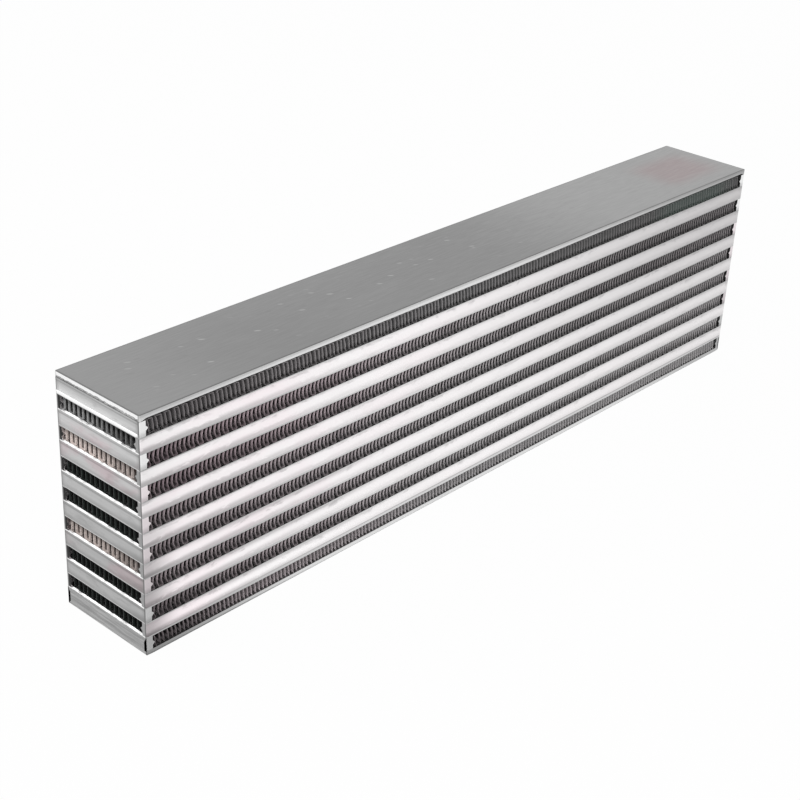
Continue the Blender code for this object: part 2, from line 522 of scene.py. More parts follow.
# %% Sawn bottom plate
def make_bottom_plate_finish():
    finish, tree, shader, place = new_finish("sawn_plate", 0.42)
    along, across, height = split(place)
    streak = use_effect(tree, "grain", Place=place, Stretch=(900.0, 45.0, 1100.0))
    spot = use_effect(tree, "nicks", Place=place, Stretch=(90.0, 90.0, 260.0), Turn=(0, 0, 0), Share=0.12)
    # A dark band along the foot of the front at the near end: painted shade where the plate meets the floor.
    foot_shade = product(fade_out(along, -0.27, -0.12), fade_out(height, 0.0006, 0.0014))
    colour = mix_colour(remap(streak, 0.35, 0.65), grey(0.27), grey(0.44))
    colour = tint(colour, spot, 0.5, grey(0.16))
    front = mix_colour(remap(along, -0.31, -0.16), grey(0.27), grey(0.74))
    front = tint(front, remap(along, 0.15, 0.30), 1.0, grey(0.47))
    front = tint(front, foot_shade, 0.7, grey(0.14))
    front = tint(front, remap(height, 0.0025, 0.0035), 1.0, grey(0.40))
    colour = mix_colour(use_effect(tree, "sides"), colour, front)
    set_colour(finish, tint(colour, painted_corner_shade(across), 0.8, grey(CORNER_SHADE_GREY)))
    add_bump(tree, shader, streak, 0.15, 0.0003)
    return finish


bottom_plate_finish = make_bottom_plate_finish()

# %% [markdown]
# ## Finish of the long bars
#
# The long bars face the light and were milled flush, so they are the brightest metal of the core. Their faces
# are painted white in the middle and darker along the foot and the top, painted shade that makes them look
# rounded, with speckles of filler along those edges. They are also darker at the near end and on the upper
# part of some bars, and painted shade darkens the front towards the far end. Noise alone would not follow the
# bars, so their meshes store how far up the bar each vertex lies, and the shaded edges read that.


# %% Bright long bars
def long_bar_face(tree, place, along, height):
    """The outer face of a long bar, before the light falls off along the front."""
    up = share_up(tree)
    stain = use_effect(tree, "stains", Place=place, Stretch=(22.0, 22.0, 60.0), Cover=0.45)
    speckle = use_effect(tree, "stains", Place=place, Stretch=(90.0, 90.0, 240.0), Cover=0.5)
    uneven = calculate("ADD", up, remap(speckle, 0.0, 1.0, -0.10, 0.08))
    # The foot and the top of the face are painted darker and its middle white: painted shade and highlight
    # that round the face.
    foot = mix_colour(remap(along, -0.31, -0.11), grey(0.52), grey(0.88))
    face = mix_colour(remap(uneven, 0.0, 0.4), foot, grey(1.0))
    # The upper part of some lower bars, and of the bars at the far end, is darker.
    darker_top = product(fade_out(height, 0.06, 0.08), between(along, -0.23, -0.16, 0.06))
    darker_top = calculate("MAXIMUM", darker_top, remap(along, 0.12, 0.29, 0.0, 0.5))
    face = tint(face, remap(uneven, 0.65, 1.05), 1.0, grey(0.74))
    face = darken(face, product(darker_top, remap(uneven, 0.5, 0.85)), 0.26)
    face = tint(face, stain, 0.12, grey(0.60))
    edges = calculate("MAXIMUM", fade_out(up, 0.05, 0.35), remap(up, 0.75, 0.95))
    face = tint(face, product(speckle, edges), 0.35, grey(0.45))
    lowest_seam = product(fade_out(height, 0.0140, 0.0150), between(up, 0.02, 0.08, 0.06))
    return tint(face, lowest_seam, 0.7, grey(0.40))


def make_long_bar_finish():
    finish, tree, _, place = new_finish("milled_long_bar", 0.34)
    along, across, height = split(place)
    blush = use_effect(tree, "stains", Place=place, Stretch=(9.0, 9.0, 16.0), Cover=0.6)
    face = tinged(long_bar_face(tree, place, along, height), (1.0, 0.975, 0.98, 1.0))
    rosy = product(blush, remap(along, -0.30, 0.05, 1.0, 0.1))
    face = mix_colour(rosy, face, tinged(face, (1.0, 0.94, 0.96, 1.0)))
    face = darken(face, remap(along, -0.305, -0.26, 0.08, 0.0))
    face = darken(face, product(fade_out(along, -0.305, -0.278), fade_out(height, 0.04, 0.11)), 0.5)
    face = darken(face, front_gloom(along, height))
    # At the back, the inner part of each end, by the oil slot, is painted near black: painted shade.
    slot_shade = between(across, HALF_DEPTH - 0.006, HALF_DEPTH - 0.0018, 0.0005)
    end = tint(grey(0.34), slot_shade, 1.0, grey(0.008))
    colour = mix_colour(use_effect(tree, "ends"), face, end)
    set_colour(finish, tint(colour, painted_corner_shade(across), 0.8, grey(CORNER_SHADE_GREY)))
    return finish


long_bar_finish = make_long_bar_finish()

# %% [markdown]
# ## Finish of the short bars
#
# The short bars make up the end face, which is turned away from the light. So they are painted greyer, with
# milling streaks across them and a rosy blush from the furnace in some rows. Painted shade darkens the foot
# and top of each face, a line near its top, and the corners, and the top bar shades off towards the plate
# over it.


# %% Bars of the end face
def end_bar_face(tree, place, across, height, up, streak):
    """The outer face of a short bar."""
    patch = use_effect(tree, "stains", Place=place, Stretch=(60.0, 60.0, 200.0), Cover=0.45)
    blush = use_effect(tree, "stains", Place=place, Stretch=(14.0, 22.0, 40.0), Cover=0.6)
    # The foot and the top of each face are painted darker than its middle: painted shade.
    face = mix_colour(remap(up, 0.0, 0.4), grey(0.44), grey(0.60))
    face = tint(face, remap(up, 0.65, 0.95), 1.0, grey(0.46))
    # The top bar is painted darker towards the plate over it: painted shade.
    top_bar = mix_colour(remap(up, 0.15, 1.0), grey(0.73), grey(0.41))
    face = mix_colour(remap(height, *TOP_ROW), face, top_bar)
    face = tint(face, remap(streak, 0.4, 0.7), 0.4, grey(0.68))
    face = tint(face, patch, 0.5, grey(0.40))
    # A dark line near the top of each bar: painted shade at its upper edge.
    face = tint(face, between(up, 0.84, 0.87, 0.05), 0.6, grey(0.28))
    # Darker at the foot near the front corner: painted shade.
    foot_corner = product(fade_out(up, 0.2, 0.6), fade_out(across, -0.037, -0.012))
    face = tint(face, foot_corner, 0.6, grey(0.30))
    face = darken(face, remap(height, 0.05, 0.15, 0.28, 0.0))
    rosy = calculate("MAXIMUM", between(height, 0.106, 0.138, 0.006), between(height, 0.044, 0.054, 0.006))
    face = mix_colour(product(blush, rosy), face, tinged(face, (1.0, 0.86, 0.89, 1.0)))
    # Darker towards the front and back corners: painted shade.
    corner = remap(calculate("ABSOLUTE", across), HALF_DEPTH - 0.0045, HALF_DEPTH)
    return tint(face, corner, 0.6, grey(0.24))


def end_bar_side(height, up):
    """The cut ends of a short bar, which lie in the front and back faces."""
    # The cut ends are darker on the lower bars, and painted darker at the foot of each bar: painted shade.
    side = mix_colour(remap(height, 0.0, 0.14), grey(0.48), grey(0.86))
    side = darken(side, remap(up, 0.05, 0.45, 0.3, 0.0))
    rosy = between(height, 0.045, 0.115, 0.012)
    return mix_colour(rosy, side, tinged(side, (1.0, 0.92, 0.945, 1.0)))


def make_end_bar_finish():
    finish, tree, shader, place = new_finish("milled_end_bar", 0.38)
    _, across, height = split(place)
    up = share_up(tree)
    streak = use_effect(tree, "grain", Place=place, Stretch=(900.0, 45.0, 900.0))
    face = end_bar_face(tree, place, across, height, up, streak)
    colour = mix_colour(use_effect(tree, "ends"), grey(0.60), face)
    colour = mix_colour(use_effect(tree, "sides"), colour, end_bar_side(height, up))
    set_colour(finish, tint(colour, painted_corner_shade(across), 0.8, grey(CORNER_SHADE_GREY)))
    add_bump(tree, shader, streak, 0.06, 0.0002)
    return finish


end_bar_finish = make_end_bar_finish()

# %% [markdown]
# ## Finish of the parting sheets
#
# The sheets are clad with filler metal. Below an oil passage it ran to the lip and set there as a fillet. The
# ends and upper faces of those sheets, and of the first, are painted near white, a painted highlight; those
# of the others are painted grey, painted shade. One function makes both, with another brightness of the ends,
# and paints the undersides dark as painted shade.


# %% Clad sheets
def make_sheet_finish(name, end_level):
    """Clad sheet whose front edges blend into the bars and whose ends have their own brightness, a painted
    highlight or painted shade.
    """
    finish, tree, _, place = new_finish(name, 0.34)
    along, across, height = split(place)
    stain = use_effect(tree, "stains", Place=place, Stretch=(60.0, 60.0, 60.0), Cover=0.5)
    front = mix_colour(remap(along, -0.31, -0.08), grey(0.45), grey(0.72))
    front = darken(front, front_gloom(along, height))
    colour = mix_colour(use_effect(tree, "sides"), grey(end_level), front)
    colour = tint(colour, stain, 0.12, grey(0.45))
    # Faces that look down are painted dark: painted shade.
    colour = tint(colour, use_effect(tree, "underside"), 1.0, grey(0.24))
    set_colour(finish, tint(colour, painted_corner_shade(across), 0.85, grey(CORNER_SHADE_GREY)))
    return finish


highlit_sheet_finish = make_sheet_finish("highlit_sheet", 0.97)
shaded_sheet_finish = make_sheet_finish("shaded_sheet", 0.62)

# %% [markdown]
# ## Finish of the air fins
#
# Light reaches only a little way in between the legs, so a leg is bright at its front edge and dark behind
# it. Lamps alone could do this, but thin folds pass light on over many bounces, and the result would hang on
# the quality of the render. So the depth is part of the finish: a front tone, a deep tone, and a short
# fade between them. The top row lies in the shade of its plate, and the floor lights the lowest row.

# %% Air fin strip
FIN_FADE = 0.0008


def lit_front(place, half, reach):
    """1 where a place lies less than a reach in from the nearer open face, half a length from the middle."""
    depth = calculate("SUBTRACT", half, calculate("ABSOLUTE", place))
    return remap(calculate("SUBTRACT", reach, depth), -FIN_FADE / 2, FIN_FADE / 2)


def leg_front(stain, along, height, up, top_row, foot, far, inner_rows):
    """The front edges of the legs, where the light falls on them."""
    front = mix_colour(stain, (0.70, 0.67, 0.68, 1.0), (0.54, 0.505, 0.52, 1.0))
    front = tint(front, top_row, 0.7, grey(0.25))
    front = darken(front, product(remap(up, 0.15, 0.5, 0.58, 0.0), inner_rows))
    front = darken(front, foot)
    near = remap(along, -0.30, -0.16, 0.28, 0.0)
    front = darken(front, product(near, remap(up, 0.2, 0.5, 0.4, 1.0)))
    waist = product(fade_out(along, -0.22, -0.10), between(up, 0.38, 0.5, 0.12))
    front = darken(front, product(waist, inner_rows), 0.25)
    faint = product(remap(up, 0.35, 0.7, 0.16, 0.3), remap(height, 0.05, 0.1, 0.5, 1.0))
    front = darken(front, product(far, faint))
    return darken(front, product(fade_out(along, -0.30, -0.22), fade_out(height, 0.02, 0.05)), 0.5)


def leg_depth(up, top_row, lowest, foot, far):
    """The legs further in, which catch some light low down and hardly any higher up."""
    low = mix_colour(far, grey(0.28), grey(0.17))
    deep = mix_colour(remap(up, 0.26, 0.44), low, grey(0.020))
    deep = tint(deep, remap(up, 0.08, 0.24, 0.6, 0.0), 1.0, grey(0.03))
    deep = tint(deep, product(far, remap(up, 0.4, 0.7)), 0.7, grey(0.10))
    deep = tint(deep, top_row, 1.0, grey(0.2))
    deep = tint(deep, foot, 1.0, grey(0.03))
    return tint(deep, lowest, 1.0, grey(0.24))


# %% Light and tinges along the air fins
def add_floor_light(colour, along, height, up, lowest):
    """Light that the floor throws up at the lower rows."""
    glow = product(fade_out(height, 0.005, 0.09), remap(along, -0.25, 0.15))
    colour = tint(colour, product(glow, remap(up, 0.2, 0.9, 0.25, 1.0)), 0.55, grey(0.8))
    colour = tint(colour, lowest, 0.35, grey(0.55))
    return tint(colour, product(lowest, remap(up, 0.1, 0.35, 0.4, 0.0)), 1.0, grey(0.8))


def add_furnace_tinges(colour, along, height, top_row):
    """A rosy tinge over the near end, and a green one at the far end of the top row."""
    rosy = product(remap(along, -0.28, 0.0, 1.0, 0.15), remap(height, 0.138, 0.142, 1.0, 0.3))
    rosy = product(rosy, remap(height, 0.08, 0.11, 0.6, 1.0))
    colour = mix_colour(rosy, colour, tinged(colour, (1.0, 0.84, 0.89, 1.0)))
    return tint(colour, product(top_row, between(along, 0.21, 0.26, 0.04)), 0.42, (0.18, 0.25, 0.22, 1.0))


def make_air_fin_finish():
    finish, tree, _, place = new_finish("air_fin_strip", 0.5, 0.1)
    along, across, height = split(place)
    up = share_up(tree)
    stain = use_effect(tree, "stains", Place=place, Stretch=(30.0, 30.0, 30.0), Cover=0.5)
    top_row = remap(height, *TOP_ROW)
    lowest = product(fade_out(height, 0.012, 0.016), remap(along, -0.28, -0.20))
    inner_rows = calculate("SUBTRACT", 1.0, calculate("MAXIMUM", top_row, lowest))
    foot = product(top_row, remap(up, 0.12, 0.35, 0.5, 0.0))
    far = remap(along, -0.06, 0.14)
    front = leg_front(stain, along, height, up, top_row, foot, far, inner_rows)
    deep = leg_depth(up, top_row, lowest, foot, far)
    lit = lit_front(across, HALF_DEPTH, remap(along, -0.31, 0.12, 0.0019, 0.0012))
    colour = mix_colour(lit, deep, front)
    far_high = product(remap(along, 0.05, 0.2), between(height, 0.118, 0.138, 0.02))
    colour = darken(colour, far_high, 0.28)
    colour = add_floor_light(colour, along, height, up, lowest)
    set_colour(finish, add_furnace_tinges(colour, along, height, top_row))
    return finish


air_fin_finish = make_air_fin_finish()

# %% [markdown]
# ## Finish of the oil fins
#
# The oil fins show at the end face, a little way in. All rows are the same fin, but some are painted light
# beige, one grey, and the others almost black: painted light and shade, for legs that stand near the face in
# some rows and deeper in others. One function makes all three from a light and a dark tone, and the reach
# says how far in the light one shows.

# %% Oil fin strips
OIL_FIN_RECESS = 0.0014


def make_oil_fin_finish(name, light, dark, reach, dim_corner):
    """Strip that is light as far in as light reaches, and dark deeper in, higher up and near the corner."""
    finish, tree, _, place = new_finish(name, 0.5, 0.0)
    along, across, height = split(place)
    up = share_up(tree)
    stain = use_effect(tree, "stains", Place=place, Stretch=(90.0, 90.0, 90.0), Cover=0.5)
    front = tint(light, stain, 0.25, dark)
    front = tint(front, fade_out(across, -0.022, 0.008), dim_corner, dark)
    deep = tint(dark, fade_out(up, 0.1, 0.45), 0.15, light)
    colour = mix_colour(lit_front(along, HALF_LENGTH - OIL_FIN_RECESS, reach), deep, front)
    colour = darken(colour, remap(up, 0.45, 0.8, 0.0, 0.5))
    set_colour(finish, darken(colour, remap(height, 0.03, 0.09, 0.35, 0.0)))
    return finish


# The light and dark tones of one fin: painted light where its legs catch the light, painted shade deeper in.
BEIGE, BEIGE_SHADE = (0.97, 0.85, 0.80, 1.0), (0.075, 0.055, 0.05, 1.0)
PAINTED_SHADE_BLACK = (0.024, 0.031, 0.028, 1.0)
oil_fin_finishes = {
    "grey": make_oil_fin_finish("grey_oil_fin", grey(0.44), grey(0.012), 0.0012, 0.6),
    "beige": make_oil_fin_finish("beige_oil_fin", BEIGE, BEIGE_SHADE, 0.0017, 0.3),
    "black": make_oil_fin_finish("black_oil_fin", PAINTED_SHADE_BLACK, grey(0.008), 0.0012, 0.0),
}

# %% [markdown]
# ## Modelling by hand, in code
#
# Each piece starts as a primitive and is shaped in edit mode. An operator works on whatever is selected,
# so every step first selects nothing, and then picks faces or edges by where they are.

# %% Start and pick
NEAR = 1e-6


def start_clean():
    """Leaves edit mode with nothing selected."""
    if bpy.context.mode != "OBJECT":
        bpy.ops.object.mode_set(mode="OBJECT")
    bpy.ops.object.select_all(action="DESELECT")


def add_block(name, low, high):
    """A cube primitive that fills a box, with its size applied."""
    start_clean()
    bpy.ops.mesh.primitive_cube_add(size=1, location=(Vector(low) + Vector(high)) / 2)
    block = bpy.context.object
    block.name = name
    block.scale = Vector(high) - Vector(low)
    bpy.ops.object.transform_apply(location=True, rotation=True, scale=True)
    return block


def edit(piece):
    """Opens a piece in edit mode, alone."""
    start_clean()
    bpy.context.view_layer.objects.active = piece
    piece.select_set(True)
    bpy.ops.object.mode_set(mode="EDIT")


def pick(piece, kind, test):
    """In edit mode, selects the faces or edges (kind FACE or EDGE) that pass a test of their vertices."""
    bpy.ops.mesh.select_mode(type=kind)
    bpy.ops.mesh.select_all(action="DESELECT")
    shape = bmesh.from_edit_mesh(piece.data)
    for part in (shape.faces if kind == "FACE" else shape.edges):
        if test([corner.co for corner in part.verts]):
            part.select_set(True)
    shape.select_flush_mode()
    bmesh.update_edit_mesh(piece.data)


# %% [markdown]
# ## Tests for picking
#
# A test looks at the corners of a face or an edge. Small tests, for a plane, a zone or a direction, are put
# together where one is not enough.


# %% Tests by place
def at(axis, value):
    """For parts whose vertices all lie on a plane square to an axis."""
    return lambda corners: all(abs(corner[axis] - value) < NEAR for corner in corners)


def at_both(axis, distance):
    """For parts whose vertices all lie at a distance from the middle, on one side or the other."""
    return lambda corners: all(abs(abs(corner[axis]) - distance) < NEAR for corner in corners)


def within(axis, distance):
    """For parts that nowhere lie further from the middle than a distance."""
    return lambda corners: all(abs(corner[axis]) < distance + NEAR for corner in corners)


def beyond(axis, distance):
    """For parts that nowhere lie closer to the middle than a distance."""
    return lambda corners: all(abs(corner[axis]) > distance - NEAR for corner in corners)


def runs(axis, length):
    """For edges that run along an axis for at least a length."""
    return lambda corners: abs(corners[0][axis] - corners[1][axis]) > length


def both(*tests):
    """For parts that pass all the given tests."""
    return lambda corners: all(test(corners) for test in tests)


upright_corners = both(at_both(X, HALF_LENGTH), at_both(Y, HALF_DEPTH), runs(Z, NEAR))


# %% [markdown]
# ## Shaping and handing over
#
# These helpers wrap the operators that recur: cut, round, push, extrude. A finished piece keeps its place in
# its mesh, with the object at the origin, because the export sets every object there.


# %% Shape, copy and hand over
def cut_at(axis, value):
    """In edit mode, cuts the whole piece with a plane square to an axis."""
    normal = Vector((0, 0, 0))
    normal[axis] = 1
    bpy.ops.mesh.select_all(action="SELECT")
    bpy.ops.mesh.bisect(plane_co=normal * value, plane_no=normal)


def cut_both_sides(axis, distance):
    for side in (-1, 1):
        cut_at(axis, side * distance)


def round_edges(offset, segments=2):
    bpy.ops.mesh.bevel(offset=offset, segments=segments, affect="EDGES")


def push(x=0.0, y=0.0, z=0.0):
    bpy.ops.transform.translate(value=(x, y, z))


def pull_out(x=0.0, y=0.0, z=0.0):
    """In edit mode, extrudes what is picked."""
    bpy.ops.mesh.extrude_region_move(TRANSFORM_OT_translate={"value": (x, y, z)})


def apply_modifiers(piece):
    start_clean()
    bpy.context.view_layer.objects.active = piece
    piece.select_set(True)
    for modifier in list(piece.modifiers):
        bpy.ops.object.modifier_apply(modifier=modifier.name)


def copy_to(piece, name, matrix):
    """A copy with its own mesh, moved in its mesh so that the object stays at the origin."""
    twin = piece.copy()
    twin.data = piece.data.copy()
    twin.name = twin.data.name = name
    twin.data.transform(matrix)
    scene.collection.objects.link(twin)
    return twin


def mark_heights(piece, height):
    """Stores how far up the piece each vertex lies, from 0 to 1, for finishes that change over the height."""
    up = piece.data.attributes.new("up", "FLOAT", "POINT")
    up.data.foreach_set("value", [vertex.co.z / height for vertex in piece.data.vertices])


def hand_over(piece, node, finish):
    """Gives a finished piece its finish, and lets it stand for its node."""
    piece.data.materials.clear()
    piece.data.materials.append(finish)
    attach(piece, "root")
    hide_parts(node)


# %% [markdown]
# ## Measures read from the frame
#
# The widths of the bars and the heights of the passages come from the nodes' boxes, so that the pieces
# follow the solids. The nose is the same on every bar.

# %% Measures of the stack
AIR_ROWS = 8
OIL_ROWS = 7
SHEETS = 14
NOSE_DEPTH = 0.0014
NOSE_HEIGHT = 0.0032
NOSE_TIP = 0.0006


def box_size(node):
    low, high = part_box(node)
    return high - low


CORE_LENGTH, CORE_DEPTH, _ = core_high - core_low
AIR_BAR_WIDTH = box_size("air_bar_left_1").x - NOSE_DEPTH
OIL_BAR_WIDTH = box_size("oil_bar_front_1").y - NOSE_DEPTH
BOTTOM_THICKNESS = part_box("air_fin_8")[0].z - core_low.z
SHEET_THICKNESS = box_size("parting_sheet_01").z
print("bars", round(AIR_BAR_WIDTH * 1000, 2), "and", round(OIL_BAR_WIDTH * 1000, 2), "mm wide")

# %% [markdown]
# ## Top side plate
#
# A sheared plate of satin sheet. Shears leave a rolled rim round the upper face, which is made here by an
# inset that is lifted a little. Its four upright corners are rounded first, so that the rim follows them.

# %% Top side plate
PLATE_CORNER_ROUND = 0.0011
RIM_RUN = 0.0009
RIM_DROP = 0.0002
RIM_ROUND = 0.0002
LOWER_EDGE_ROUND = 0.00015

plate_low, plate_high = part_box("top_side_plate")
rim_level = plate_high.z - RIM_DROP
top_plate = add_block("top_cover_plate", plate_low, (plate_high.x, plate_high.y, rim_level))
edit(top_plate)
pick(top_plate, "EDGE", upright_corners)
round_edges(PLATE_CORNER_ROUND, 3)
pick(top_plate, "FACE", at(Z, rim_level))
bpy.ops.mesh.inset(thickness=RIM_RUN)
push(z=RIM_DROP)
pick(top_plate, "EDGE", at(Z, rim_level))
round_edges(RIM_ROUND)
pick(top_plate, "EDGE", at(Z, plate_low.z))
round_edges(LOWER_EDGE_ROUND)
print("rim runs", RIM_RUN * 1000, "mm in from the edge")

# %% [markdown]
# On its cut ends the plate is bright in the upper part, down to a ragged line below which the metal tore and
# slopes back. The plate is still open in edit mode, so the line is a cut across it. Its vertices on the ends
# are shaken at random, and what lies below them is pushed back.

# %% Torn ends of the top plate
BRIGHT_HEIGHT = 0.0024
TEAR_SLOPE = 0.0006
LEAST_TEAR = 0.1
TEAR_RAGGEDNESS = 0.0004
TEAR_SEED = 3
PLATE_DIVISIONS = 50

tear_level = plate_high.z - BRIGHT_HEIGHT
cut_at(Z, tear_level)
pick(top_plate, "EDGE", runs(Y, CORE_DEPTH / 2))
bpy.ops.mesh.subdivide(number_cuts=PLATE_DIVISIONS)
pick(top_plate, "EDGE", both(at(Z, tear_level), at_both(X, HALF_LENGTH)))
bpy.ops.mesh.mark_sharp()
start_clean()
draw = np.random.default_rng(TEAR_SEED)
slopes = draw.uniform(LEAST_TEAR, 1.0, PLATE_DIVISIONS + 2) * TEAR_SLOPE
for vertex in top_plate.data.vertices:
    if abs(vertex.co.x) < HALF_LENGTH - LOWER_EDGE_ROUND - NEAR or vertex.co.z > tear_level + NEAR:
        continue
    if vertex.co.z > tear_level - NEAR:
        vertex.co.z += draw.uniform(-TEAR_RAGGEDNESS, TEAR_RAGGEDNESS)
    else:
        division = round((vertex.co.y + HALF_DEPTH) / CORE_DEPTH * (PLATE_DIVISIONS + 1))
        vertex.co.x -= math.copysign(slopes[division], vertex.co.x)
print("tear slopes back up to", round(slopes.max() * 1000, 2), "mm")

# %% [markdown]
# The lower edge of the long sides wanders, because the plate was pressed onto an uneven fin. The plate is cut
# across at a few places, and its lower edge is lifted by an amount that changes from one to the next.

# %% Wandering lower edge
EDGE_RUN = 0.0012
# Place along the core, and how far the edge is lifted there.
EDGE_LIFTS = {-0.300: 0.0012, -0.200: 0.0009, -0.080: 0.0005, 0.0: 0.00005, 0.060: 0.0006, 0.120: 0.0010,
              0.300: 0.0011}

edit(top_plate)
for place in EDGE_LIFTS:
    cut_at(X, place)
cut_both_sides(Y, HALF_DEPTH - EDGE_RUN)
start_clean()
for vertex in top_plate.data.vertices:
    outside = abs(vertex.co.y) > HALF_DEPTH - LOWER_EDGE_ROUND - NEAR
    low = vertex.co.z < plate_low.z + LOWER_EDGE_ROUND + NEAR
    if outside and low and abs(vertex.co.x) < max(EDGE_LIFTS) + NEAR:
        vertex.co.z += np.interp(vertex.co.x, list(EDGE_LIFTS), list(EDGE_LIFTS.values()))
hand_over(top_plate, "top_side_plate", top_plate_finish)
print(top_plate.name, len(top_plate.data.polygons), "faces")

# %% [markdown]
# ## A nose on a bar
#
# The inner face of each closing bar carries a blunt ridge that keeps the fin in place. Two cuts part off
# the middle of the face, which is pulled out and then narrowed to the tip.


# %% Nose helper
def raise_nose(piece, base, top, axis, face, outward):
    """In edit mode, pulls a nose out of the middle of the face that lies at a place on an axis."""
    middle = (base + top) / 2
    for height in (middle - NOSE_HEIGHT / 2, middle + NOSE_HEIGHT / 2):
        cut_at(Z, height)

    def half_way_up(corners):
        return all(abs(corner.z - middle) < NOSE_HEIGHT / 2 + NEAR for corner in corners)

    pick(piece, "FACE", both(at(axis, face), half_way_up))
    move = Vector((0, 0, 0))
    move[axis] = outward * NOSE_DEPTH
    pull_out(*move)
    bpy.ops.transform.resize(value=(1, 1, NOSE_TIP / NOSE_HEIGHT), center_override=(0, 0, middle))


# %% [markdown]
# ## Bottom side plate
#
# The bottom plate is one piece with the two bars of the lowest air passage, so the bars are extruded up
# from the ends of the plate. Filler metal stands as a low ledge in front of the fin. The four upright corners
# are worn round where the core has been set down.

# %% Bottom side plate
CORNER_ROUND = 0.0024
BOTTOM_EDGE_ROUND = 0.0003
LEDGE_WIDTH = 0.00035
LEDGE_RISE = 0.0006

bottom_low, bottom_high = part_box("bottom_side_plate")
plate_top = bottom_low.z + BOTTOM_THICKNESS
inner_face = HALF_LENGTH - AIR_BAR_WIDTH


def on_the_ends(corners):
    return abs(sum(corner.x for corner in corners)) > len(corners) * inner_face


bottom_plate = add_block("bottom_cover_plate", bottom_low, (bottom_high.x, bottom_high.y, plate_top))
edit(bottom_plate)
cut_both_sides(X, inner_face)
pick(bottom_plate, "FACE", both(at(Z, plate_top), on_the_ends))
pull_out(z=bottom_high.z - plate_top)
cut_both_sides(Y, HALF_DEPTH - LEDGE_WIDTH)
pick(bottom_plate, "FACE", both(at(Z, plate_top), beyond(Y, HALF_DEPTH - LEDGE_WIDTH)))
pull_out(z=LEDGE_RISE)
for side in (-1, 1):
    raise_nose(bottom_plate, plate_top, bottom_high.z, X, side * inner_face, -side)
pick(bottom_plate, "EDGE", upright_corners)
round_edges(CORNER_ROUND, 4)
pick(bottom_plate, "EDGE", at(Z, bottom_low.z))
round_edges(BOTTOM_EDGE_ROUND)
start_clean()
hand_over(bottom_plate, "bottom_side_plate", bottom_plate_finish)
print(bottom_plate.name, len(bottom_plate.data.polygons), "faces")

# %% [markdown]
# ## Closing bars
#
# Long bars close the oil passages at the front and back, and short bars close the air passages at the
# ends. One function shapes a bar along X with its outer face towards -Y, and copies are turned into place.
# The corners are rounded, which shapes the line up the corner of the core and round the ends of the bars; its
# dark tone is painted shade in the finishes.

# %% Bar extrusion
BAR_CORNER_ROUND = 0.0009
BAR_END_ROUND = 0.00022
FILLER_FILM = 0.00005


def straight_across(corners):
    """A test for edges that run along Y and nowhere else."""
    return (corners[0] - corners[1]).xz.length < NEAR


def shape_bar(name, length, width, height):
    """A bar along X, with its outer face at y = 0 and its base at z = 0."""
    bar = add_block(name, (-length / 2, 0, 0), (length / 2, width, height))
    edit(bar)
    pick(bar, "EDGE", both(at_both(X, length / 2), at(Y, 0), runs(Z, NEAR)))
    round_edges(BAR_CORNER_ROUND, 3)
    pick(bar, "EDGE", both(at_both(X, length / 2), straight_across))
    round_edges(BAR_END_ROUND)
    raise_nose(bar, 0, height, Y, width, 1)
    start_clean()
    mark_heights(bar, height)
    return bar


def place_bars(pattern, node_name, turn, corner, finish):
    """Copies a bar to every row of one side, turned so that its outer face looks outward."""
    turned = Matrix.Rotation(turn, 4, "Z")
    for row in range(1, OIL_ROWS + 1):
        node = f"{node_name}_{row}"
        corner.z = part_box(node)[0].z - FILLER_FILM
        bar = copy_to(pattern, f"{node_name}_extrusion_{row}", Matrix.Translation(corner) @ turned)
        hand_over(bar, node, finish)


# %% Long and short bars
long_bar_height = box_size("oil_bar_front_1").z + 2 * FILLER_FILM
long_bar = shape_bar("long_bar_pattern", CORE_LENGTH, OIL_BAR_WIDTH, long_bar_height)
place_bars(long_bar, "oil_bar_front", 0, Vector((0, -HALF_DEPTH, 0)), long_bar_finish)
place_bars(long_bar, "oil_bar_back", math.pi, Vector((0, HALF_DEPTH, 0)), long_bar_finish)
short_bar_height = box_size("air_bar_left_1").z + 2 * FILLER_FILM
short_bar = shape_bar("short_bar_pattern", CORE_DEPTH, AIR_BAR_WIDTH, short_bar_height)
place_bars(short_bar, "air_bar_left", -math.pi / 2, Vector((-HALF_LENGTH, 0, 0)), end_bar_finish)
place_bars(short_bar, "air_bar_right", math.pi / 2, Vector((HALF_LENGTH, 0, 0)), end_bar_finish)
for pattern in (long_bar, short_bar):
    bpy.data.objects.remove(pattern)

# %% [markdown]
# ## Filler on the parting sheets
#
# Thin clad sheets part the passages. In the furnace their cladding melts, and the filler runs. Below each oil
# passage it stays at the lip as an uneven fillet, made by lifting a line of the sheet just inside the lip.
# It also hangs as a drip along the front and back edges, a little lower on each sheet further down.

# %% Fillets and drips
FILLET_RUN = 0.0009
FILLET_RISE = 0.0005
FILLET_BACK = 0.00015
FILLET_DIVISIONS = 44
FILLET_SHAKE = 0.00016
DRIP_WIDTH = 0.00035
DRIP_FULL = 0.22
DRIP_TAPER = 0.05


def raise_fillet(sheet, top):
    """In edit mode, lifts a fillet behind both lips of a sheet, between the long bars."""
    between_bars = HALF_DEPTH - OIL_BAR_WIDTH
    cut_both_sides(X, HALF_LENGTH - FILLET_RUN)
    cut_both_sides(X, HALF_LENGTH - FILLET_RUN - FILLET_BACK)
    cut_both_sides(Y, between_bars)
    pick(sheet, "EDGE", runs(Y, CORE_DEPTH / 2))
    bpy.ops.mesh.subdivide(number_cuts=FILLET_DIVISIONS)
    pick(sheet, "EDGE", both(at(Z, top), at_both(X, HALF_LENGTH - FILLET_RUN), within(Y, between_bars)))
    push(z=FILLET_RISE)


